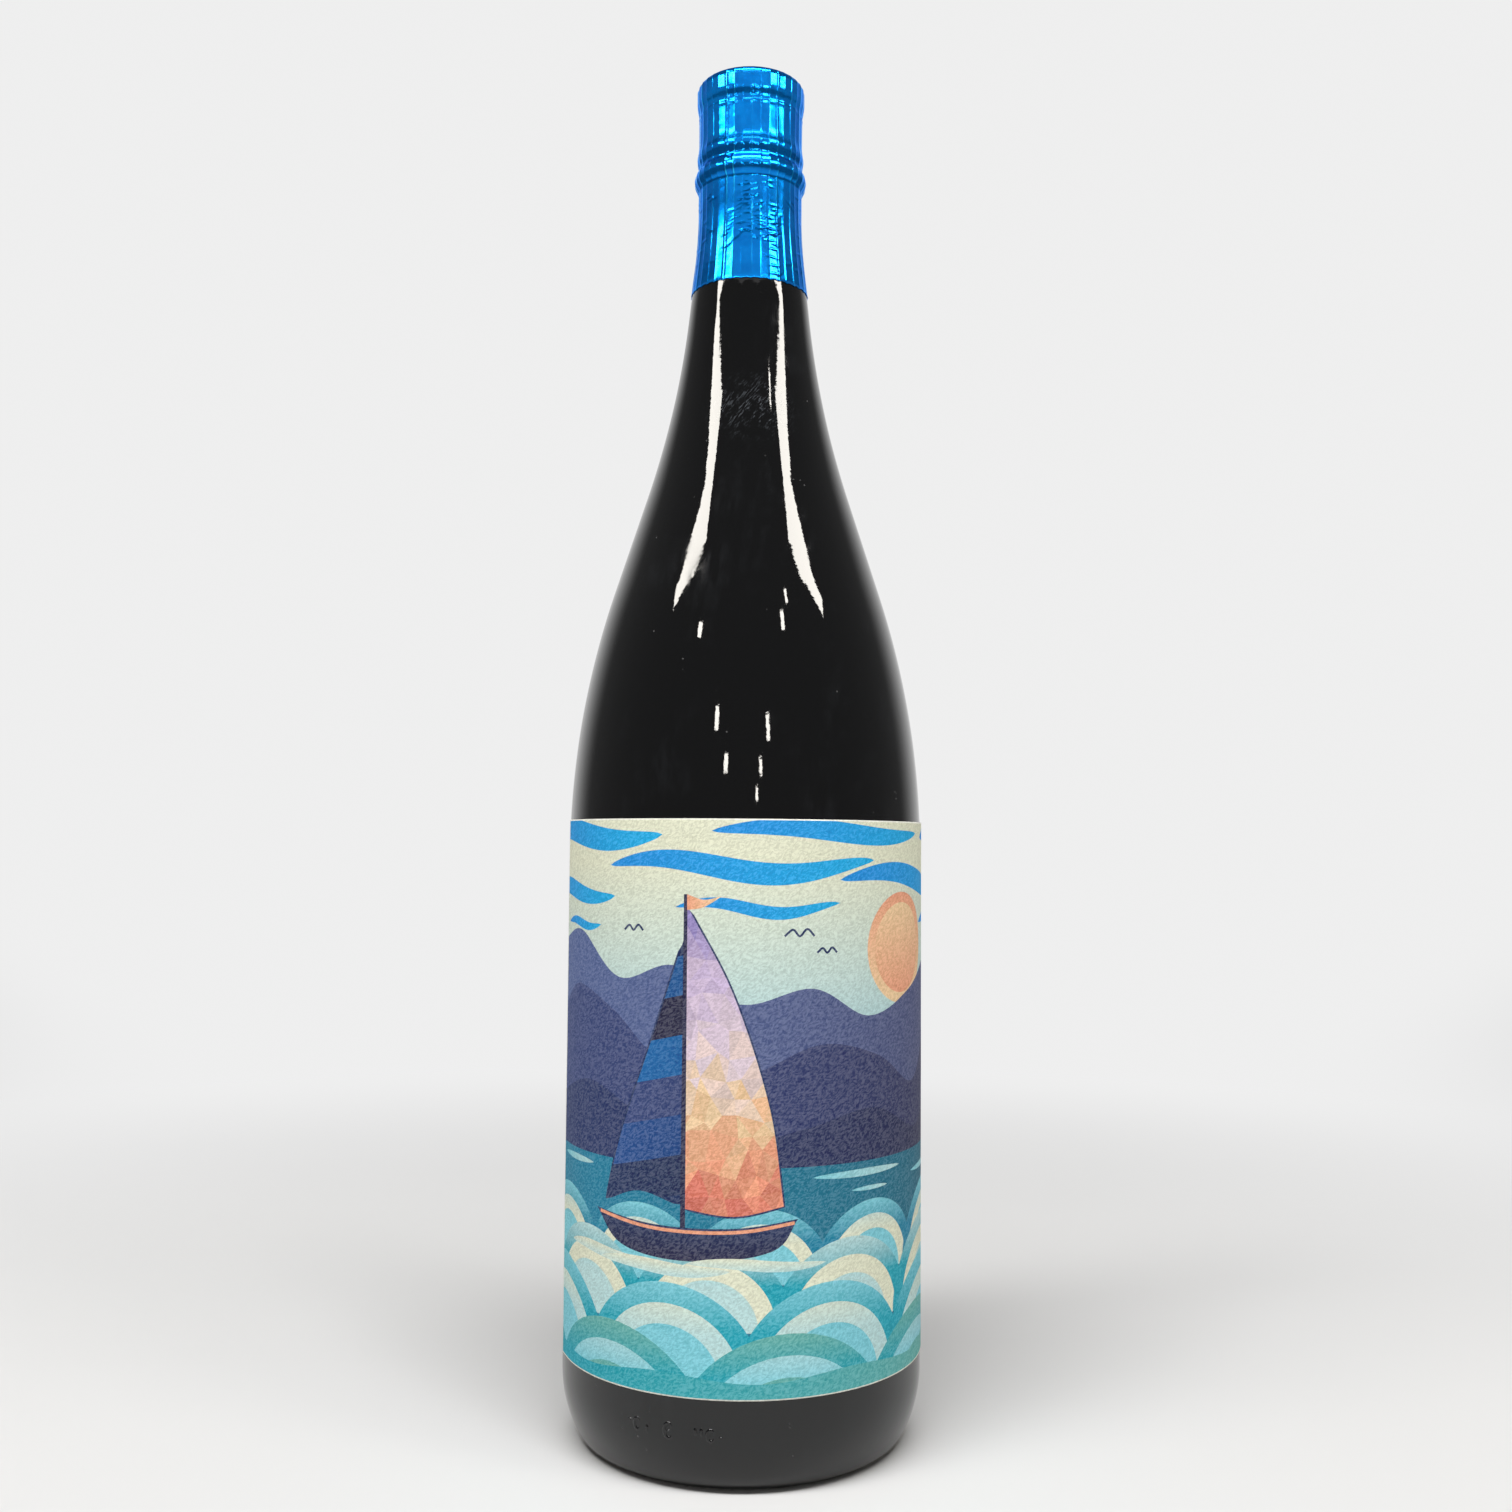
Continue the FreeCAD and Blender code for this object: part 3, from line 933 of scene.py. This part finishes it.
def draw_boat(page):
    """A sailing boat left of the middle: a faceted mainsail, a panelled foresail and a low hull."""
    mast_u, foot_v, head_v = -27, 44, 132
    sea_blue = srgb(38, 112, 176)

    def from_mast(*points):
        return [(mast_u + u, v) for u, v in points]

    main_edge = from_mast((0.4, head_v - 3), (13, 106), (23, 76), (27, 50))
    main = np.array(two_curves(main_edge, from_mast((14, 47.5), (0.4, 49)), 8, 6))
    fore_edge = from_mast((-0.4, head_v - 12), (-10, 92), (-20, 66), (-25, 49))
    fore = np.array(two_curves(fore_edge, from_mast((-13, 53), (-0.4, 50)), 8, 6))
    page.fill(widened(main, 0.5), NAVY)
    page.fill(main, ORANGE)
    warm = ((0.0, CORAL), (0.16, ORANGE), (0.34, PEACH), (0.52, PINK), (0.78, LILAC), (1.0, PURPLE))
    sail_facets(page, main, 5.2, 3, warm)
    page.fill(widened(fore, 0.5), NAVY)
    page.fill(fore, NAVY, sea_blue, (0, 50), (0, head_v))
    shades = (NAVY, srgb(60, 92, 150), INDIGO, sea_blue, DEEP_INDIGO, srgb(44, 100, 160), NAVY, INDIGO)
    for k, shade in enumerate(shades):
        foot = 46 + 10.5 * k
        panel = from_mast((-30, foot), (1, foot + 7), (1, foot + 17.5), (-30, foot + 10.5))
        page.fill(panel, shade, shade * 0.8, (mast_u - 20, 0), (mast_u, 0), clip=fore)
    page.fill(from_mast((-0.7, foot_v), (0.7, foot_v), (0.5, head_v), (-0.5, head_v)), DEEP_INDIGO)
    upper = from_mast((0.4, head_v), (5, head_v - 1.4), (10, head_v - 0.4))
    flag = two_curves(upper, from_mast((5, head_v - 3.4), (0.4, head_v - 4.2)), 6, 6)
    page.fill(flag, ORANGE, PEACH, (mast_u, 0), (mast_u + 10, 0))
    deck = from_mast((-29, 46), (-8, 44.2), (14, 44.4), (31, 46.6))
    hull = two_curves(deck, from_mast((24, 38.4), (2, 35.4), (-19, 37.6), (-29, 46)), 8, 8)[:-1]
    page.fill(hull, NAVY, DEEP_INDIGO, (0, 46), (0, 36))
    trim = curve(from_mast((-27.4, 45.2), (-8, 43.2), (14, 43.4), (30, 45.6)), 8)
    page.fill(stroke(trim, 0.9), ORANGE)


def draw_foam(page):
    """Low swells in front of the hull, and a few birds over the hills."""
    for left, right, v, height in ((-70, -38, 34.6, 3.2), (-54, -14, 33.2, 3.6), (-26, 12, 34.8, 3.0)):
        page.fill(ribbon(left, right, v, height, 0.5, 1.0), CREAM, ICE, (0, v + 2), (0, v - 2))
    for u, v, size in ((4, 121, 4.2), (12, 116.5, 3.0), (-43, 122, 3.2)):
        beat = ((-1, 0), (-0.45, 0.42), (0, 0), (0.5, 0.46), (1, 0))
        wings = curve([(u + size * right, v + size * up) for right, up in beat], 5)
        page.fill(stroke(wings, 0.6), NAVY)


def design():
    page = Print()
    for draw in (draw_sky, draw_hills, draw_sea, draw_boat, draw_foam):
        draw(page)
    return page.shapes


# --- the label as a sheet of paper ---

def label_place(u, v, depth):
    """Where a point of the label lies on the bottle; depth is how far below the outer face."""
    half = (LABEL_WIDTH / 2 - LABEL_FLAT) / BODY_R / MM
    bent = np.clip(u / BODY_R, -half, half) * MM
    straight = u * MM - bent * BODY_R
    radius = LABEL_R - depth
    x = radius * np.sin(bent) + straight * np.cos(bent)
    y = -radius * np.cos(bent) + straight * np.sin(bent)
    return np.stack([x, y, LABEL_Z + v * MM], axis=-1)


def paper_waves(places):
    """How far the paper lies below its highest level: slow cockles and a fine, soft relief."""
    slow = smooth_noise(places / 17.0, 21)
    fine = smooth_noise(places / 3.1, 22)
    return (0.035 + 0.03 * slow + 0.010 * fine) * MM


def triangulated(shapes):
    """One triangle mesh of the whole label whose edges follow every printed outline."""
    points, edges = [], []

    def add_loop(outline):
        start = len(points)
        points.extend(outline)
        count = len(outline)
        edges.extend((start + k, start + (k + 1) % count) for k in range(count))

    rim_u = np.linspace(-SIDE, SIDE, 101)
    rim_v = np.linspace(0, HEIGHT, 96)
    rim = [(u, 0.0) for u in rim_u] + [(SIDE, v) for v in rim_v[1:]]
    rim += [(u, HEIGHT) for u in rim_u[-2::-1]] + [(-SIDE, v) for v in rim_v[-2:0:-1]]
    add_loop(rim)
    add_loop(closely(oblong(SIDE - MARGIN, MARGIN, HEIGHT - MARGIN)))
    for outline, *_ in shapes:
        add_loop([tuple(point) for point in outline])
    columns, rows = np.arange(-SIDE + 1.6, SIDE - 1, 1.8), np.arange(1.6, HEIGHT - 1, 1.8)
    points += [(u, v) for u in columns for v in rows]
    corners, _, triangles, *_ = delaunay_2d_cdt([Vector(point) for point in points], edges, [], 0, 1e-4)
    return np.array([tuple(corner) for corner in corners]), np.array(triangles)


def make_label():
    shapes = design()
    flat, triangles = triangulated(shapes)
    u, v = flat.T
    middles = flat[triangles].mean(axis=1)
    a, b, c = (flat[triangles[:, k]] for k in range(3))
    backwards = np.cross(b - a, c - a) < 0
    triangles[backwards] = triangles[backwards][:, ::-1]

    colours = np.tile(PAPER_WHITE, (len(triangles), 3, 1))
    for outline, first, second, start, end, clip in shapes:
        covered = inside(middles, outline)
        if clip is not None:
            covered &= inside(middles, clip)
        run = end - start
        share = np.clip((flat[triangles[covered]] - start) @ run / (run @ run), 0, 1)[..., None]
        colours[covered] = first + (second - first) * share

    places = np.stack([u, v, 0 * u], axis=-1)
    relief = paper_waves(places)
    front = label_place(u, v, relief)
    back = label_place(u, v, relief + PAPER)
    count = len(flat)
    directed = np.stack([triangles, np.roll(triangles, -1, axis=1)], axis=-1).reshape(-1, 2)
    pairs = set(map(tuple, directed.tolist()))
    rim = [(a, b) for a, b in pairs if (b, a) not in pairs]
    sides = [(b, a, count + a, count + b) for a, b in sorted(rim)]
    faces = triangles.tolist() + (triangles[:, ::-1] + count).tolist() + sides
    mesh = new_mesh("label_paper", np.concatenate([front, back]), faces)

    printed = mesh.color_attributes.new("print", "FLOAT_COLOR", "CORNER")
    rest = np.tile(PAPER_WHITE, (len(mesh.loops) - 3 * len(triangles), 1))
    printed.data.foreach_set("color", np.concatenate([colours.reshape(-1, 4), rest]).ravel())
    place = mesh.attributes.new("paper_mm", "FLOAT_VECTOR", "POINT")
    place.data.foreach_set("vector", np.tile(places, (2, 1)).ravel())
    piece = new_piece("label_sheet", mesh, LABEL_PAPER)
    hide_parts("front_label")


# --- raised marks on the heel ---

MARK_TUBE = 0.62 * MM
MARK_SUNK = 0.34 * MM
MARK_SIDES = 8
HEEL_REACH = 0.0095


def heel_radius(height):
    """Radius of the glass at a height between its foot and the label."""
    pen = Outline(0, PUSH_UP, -90, 0.0005)
    draw_base(pen)
    radius, level = pen.grown()
    outer = radius > BODY_R - HEEL_REACH
    return np.interp(height, level[outer], radius[outer])


def loop(half_width, half_height):
    angles = np.linspace(0, 2 * np.pi, 25)
    return [(half_width * math.cos(a), half_height * math.sin(a)) for a in angles]


def bar(right, foot, head):
    return [(right, foot + (head - foot) * k / 6) for k in range(7)]


def mark_tube(turn, height, line):
    """Vertices and faces of a partly sunk glass thread along a line, given in mm about its place."""
    closed = line[0] == line[-1]
    places = []
    for right, up in line:
        level = height + up * MM
        radius = heel_radius(level) - MARK_SUNK
        places.append(on_front(turn + math.degrees(right * MM / BODY_R), radius, level))
    count, sides = len(places), MARK_SIDES
    vertices, faces = [], []
    padded = [places[-2], *places, places[1]] if closed else [places[0], *places, places[-1]]
    for k, place in enumerate(places):
        along = (padded[k + 2] - padded[k]).normalized()
        outward = Vector((place.x, place.y, 0)).normalized()
        across = along.cross(outward)
        end = 1 if closed else min(1, 0.15 + 0.85 * math.sin(math.pi * k / (count - 1)) ** 0.5)
        for side in range(sides):
            angle = 2 * math.pi * side / sides
            spoke = math.cos(angle) * outward + math.sin(angle) * across
            vertices.append(place + MARK_TUBE * end * spoke)
    for k in range(count - 1):
        for side in range(sides):
            following = (side + 1) % sides
            first, second = k * sides, (k + 1) * sides
            faces.append((first + side, first + following, second + following, second + side))
    if not closed:
        faces.append(tuple(range(sides))[::-1])
        faces.append(tuple((count - 1) * sides + side for side in range(sides)))
    return vertices, faces


def make_heel_marks():
    """Small raised rings, studs and bars moulded low on the glass, at the left of the front."""
    marks = (  # turn in degrees and height in mm of each one's place, and its line
        (-34.5, 17.9, bar(0, -0.5, 0.5)), (-31.8, 17.2, loop(0.9, 1.5)), (-28.4, 16.3, bar(0, -1.5, 1.5)),
        (-21.4, 16.9, loop(1.25, 2.0)), (-21.4, 16.9, bar(0, -0.4, 0.4)),
        (-13.2, 17.4, bar(0, -1.3, 1.3)), (-11.4, 17.4, bar(0, -1.3, 1.3)), (-8.6, 16.6, loop(1.0, 1.5)),
        (-5.6, 16.2, bar(0, -0.4, 0.4)),
    )
    vertices, faces = [], []
    for turn, height, line in marks:
        more_vertices, more_faces = mark_tube(turn, height * MM, line)
        faces += [tuple(len(vertices) + corner for corner in face) for face in more_faces]
        vertices += more_vertices
    new_piece("heel_marks", new_mesh("heel_marks", vertices, faces), GLASS)


# --- camera, lights and stage ---

# Places in the studio are given as seen from the camera's side; this turns them into the frame.
STUDIO_TURN = Matrix.Rotation(math.radians(CAMERA_TURN), 4, "Z")


def make_camera():
    yaw, pitch, roll = map(math.radians, (CAMERA_YAW, CAMERA_PITCH, CAMERA_ROLL))
    right = Vector((math.cos(yaw), -math.sin(yaw), 0))
    level = math.cos(pitch)
    forward = Vector((math.sin(yaw) * level, math.cos(yaw) * level, math.sin(pitch)))
    up = right.cross(forward)
    matrix = Matrix((right, up, -forward)).transposed().to_4x4() @ Matrix.Rotation(roll, 4, "Z")
    matrix.translation = (0, -CAMERA_DISTANCE, CAMERA_Z)
    data = bpy.data.cameras.new("camera")
    data.sensor_width = CAMERA_SENSOR
    data.lens = CAMERA_LENS
    data.clip_start = 0.01
    camera = new_object("camera", data)
    camera.matrix_world = STUDIO_TURN @ matrix
    bpy.context.scene.camera = camera


def add_light(name, start, end, width, target, radiance, colour=(1, 1, 1)):
    """A flat lamp between two points, facing its target, with that brightness all over."""
    start, end, target = (STUDIO_TURN @ Vector(point) for point in (start, end, target))
    middle = (start + end) / 2
    along = (end - start).normalized()
    aim = target - middle
    back = -(aim - aim.dot(along) * along).normalized()
    length = (end - start).length
    data = bpy.data.lights.new(name, "AREA")
    data.shape = "RECTANGLE"
    data.size = length
    data.size_y = width
    data.color = colour
    data.energy = radiance * math.pi * length * width
    light = new_object(name, data)
    light.matrix_world = Matrix((along, back.cross(along), back)).transposed().to_4x4()
    light.location = middle
    light.visible_camera = False


# The broad lamp overhead: its two ends, width, target and brightness.
KEY_LAMP = ((-1.15, -0.85, 2.15), (0.85, -0.85, 2.15), 0.40, (0, 0, 0.2), 24.0)

# Small lamps that show as glints on the shoulder: place, width and height.
SPOTS = (
    ((-0.247, -0.328, 0.487), 0.022, 0.030), ((0.172, -0.317, 0.475), 0.018, 0.036),
    ((1.022, -1.416, 1.724), 0.070, 0.150), ((-0.649, -1.795, 0.941), 0.085, 0.150),
    ((0.485, -1.865, 0.894), 0.075, 0.150), ((-0.440, -1.938, 0.692), 0.080, 0.110),
    ((0.329, -1.964, 0.679), 0.070, 0.110), ((0.249, -2.009, 0.517), 0.050, 0.090),
)
SPOT_TARGET = (0, 0, 0.21)
SPOT_RADIANCE = 24.0
WARM = (1.0, 0.965, 0.90)

# Two lamp bars up beside the camera, broader at their near ends.
BARS = (
    ((-0.25, -0.239, 0.607), (-0.66, -0.288, 0.743)),
    ((0.25, -0.239, 0.607), (0.74, -0.298, 0.769)),
)
BAR_BROAD_SHARE = 0.30
BAR_WIDTHS = (0.068, 0.056)
BAR_TARGET = (0, 0, 0.27)
BAR_RADIANCE = 20.0

# Rows of flat lamps close round the capsule: lower and upper edge, turns, half-turn and brightness.
NEAR_R = 0.130
NEAR_LAMPS = (
    (0.4145, 0.472, (-30, 0, 30), 15, 0.58),
    (0.4145, 0.472, (-180, -150, -120, -90, -60, 60, 90, 120, 150), 15, 0.24),
    (0.476, 0.488, (-14, 0, 14), 7, 7.0),
    (0.478, 0.486, (-56, -42, -28, 28, 42, 56), 7, 1.6),
)


def add_near_lamps(low, high, turns, half_turn, radiance):
    """A row of flat lamps that face the axis, each as wide as its share of the circle."""
    half = NEAR_R * math.tan(math.radians(half_turn))
    level = (low + high) / 2
    for turn in turns:
        spin = Matrix.Rotation(math.radians(turn), 4, "Z")
        start, end = (spin @ Vector((side, -NEAR_R, level)) for side in (-half, half))
        add_light("near", start, end, high - low, (0, 0, level), radiance)


def make_lights():
    add_light("key", *KEY_LAMP)
    for start, end in BARS:
        middle = Vector(start).lerp(Vector(end), BAR_BROAD_SHARE)
        for ends, width in zip(((start, middle), (middle, end)), BAR_WIDTHS):
            add_light("bar", *ends, width, BAR_TARGET, BAR_RADIANCE, WARM)
    for near in NEAR_LAMPS:
        add_near_lamps(*near)
    for place, width, height in SPOTS:
        place, up = Vector(place), Vector((0, 0, height / 2))
        add_light("spot", place - up, place + up, width, SPOT_TARGET, SPOT_RADIANCE, WARM)


def make_world():
    """An even dim light; what is seen directly, in gloss or through glass is the backdrop."""
    world = bpy.data.worlds.new("studio")
    world.use_nodes = True
    bpy.context.scene.world = world
    nodes = Nodes(world.node_tree)
    direction = nodes.node("TexCoord", output="Generated")
    up = nodes.node("SeparateXYZ", Vector=direction, output="Z")
    sweep = nodes.spread(up, *SWEEP, 1, 0)
    colour = nodes.mix(nodes.seen(), grey(DIM), nodes.backdrop(direction, sweep))
    nodes.set(nodes.tree.nodes["Background"], {"Color": colour})


def floor_finish():
    """Pale matte paper: it takes the shadow near the bottle and turns into the backdrop far out."""
    finish = Finish("floor_paper", Roughness=0.9, Specular_IOR_Level=0.1)
    place = finish.node("TexCoord", output="Object")
    soft = finish.noise(place, 3, 3)
    finish.set(finish.shader, {"Base Color": finish.mix(soft, grey(0.62), grey(0.66))})
    distance = finish.length(place)
    near = finish.spread(distance, *NEAR_FLOOR, 1, 0)
    tone = finish.mix(near, finish.backdrop(place, 1.0), grey(PALE))
    glow = finish.node("Emission", Color=tone, Strength=1.0)
    far = finish.times(finish.seen(), finish.spread(distance, *FLOOR_FADE))
    blend = finish.node("MixShader", sockets={0: far, 1: finish.shader.outputs[0], 2: glow})
    finish.tree.links.new(blend, finish.tree.nodes["Material Output"].inputs["Surface"])
    return finish.material


def make_stage():
    """A round pale floor, wide enough to meet the backdrop at the horizon."""
    angles = np.linspace(0, 2 * np.pi, 48, endpoint=False)
    rings = turned(column(FLOOR_RADII), 0, angles)
    vertices = np.concatenate([rings.reshape(-1, 3), [[0, 0, 0]]])
    centre = len(vertices) - 1
    faces = [face[::-1] for face in ring_faces(len(FLOOR_RADII), len(angles))]
    faces += [(centre, k, (k + 1) % len(angles)) for k in range(len(angles))]
    mesh = new_mesh("floor", vertices, faces)
    floor = new_object("floor", mesh)
    mesh.materials.append(floor_finish())


# --- the scene ---

GLASS = glass_finish()
FOIL_BLUE = foil_finish()
LABEL_PAPER = paper_finish()

make_glass()
make_capsule()
make_label()
make_heel_marks()
make_camera()
make_lights()
make_world()
make_stage()
bpy.context.scene.view_settings.view_transform = "Standard"
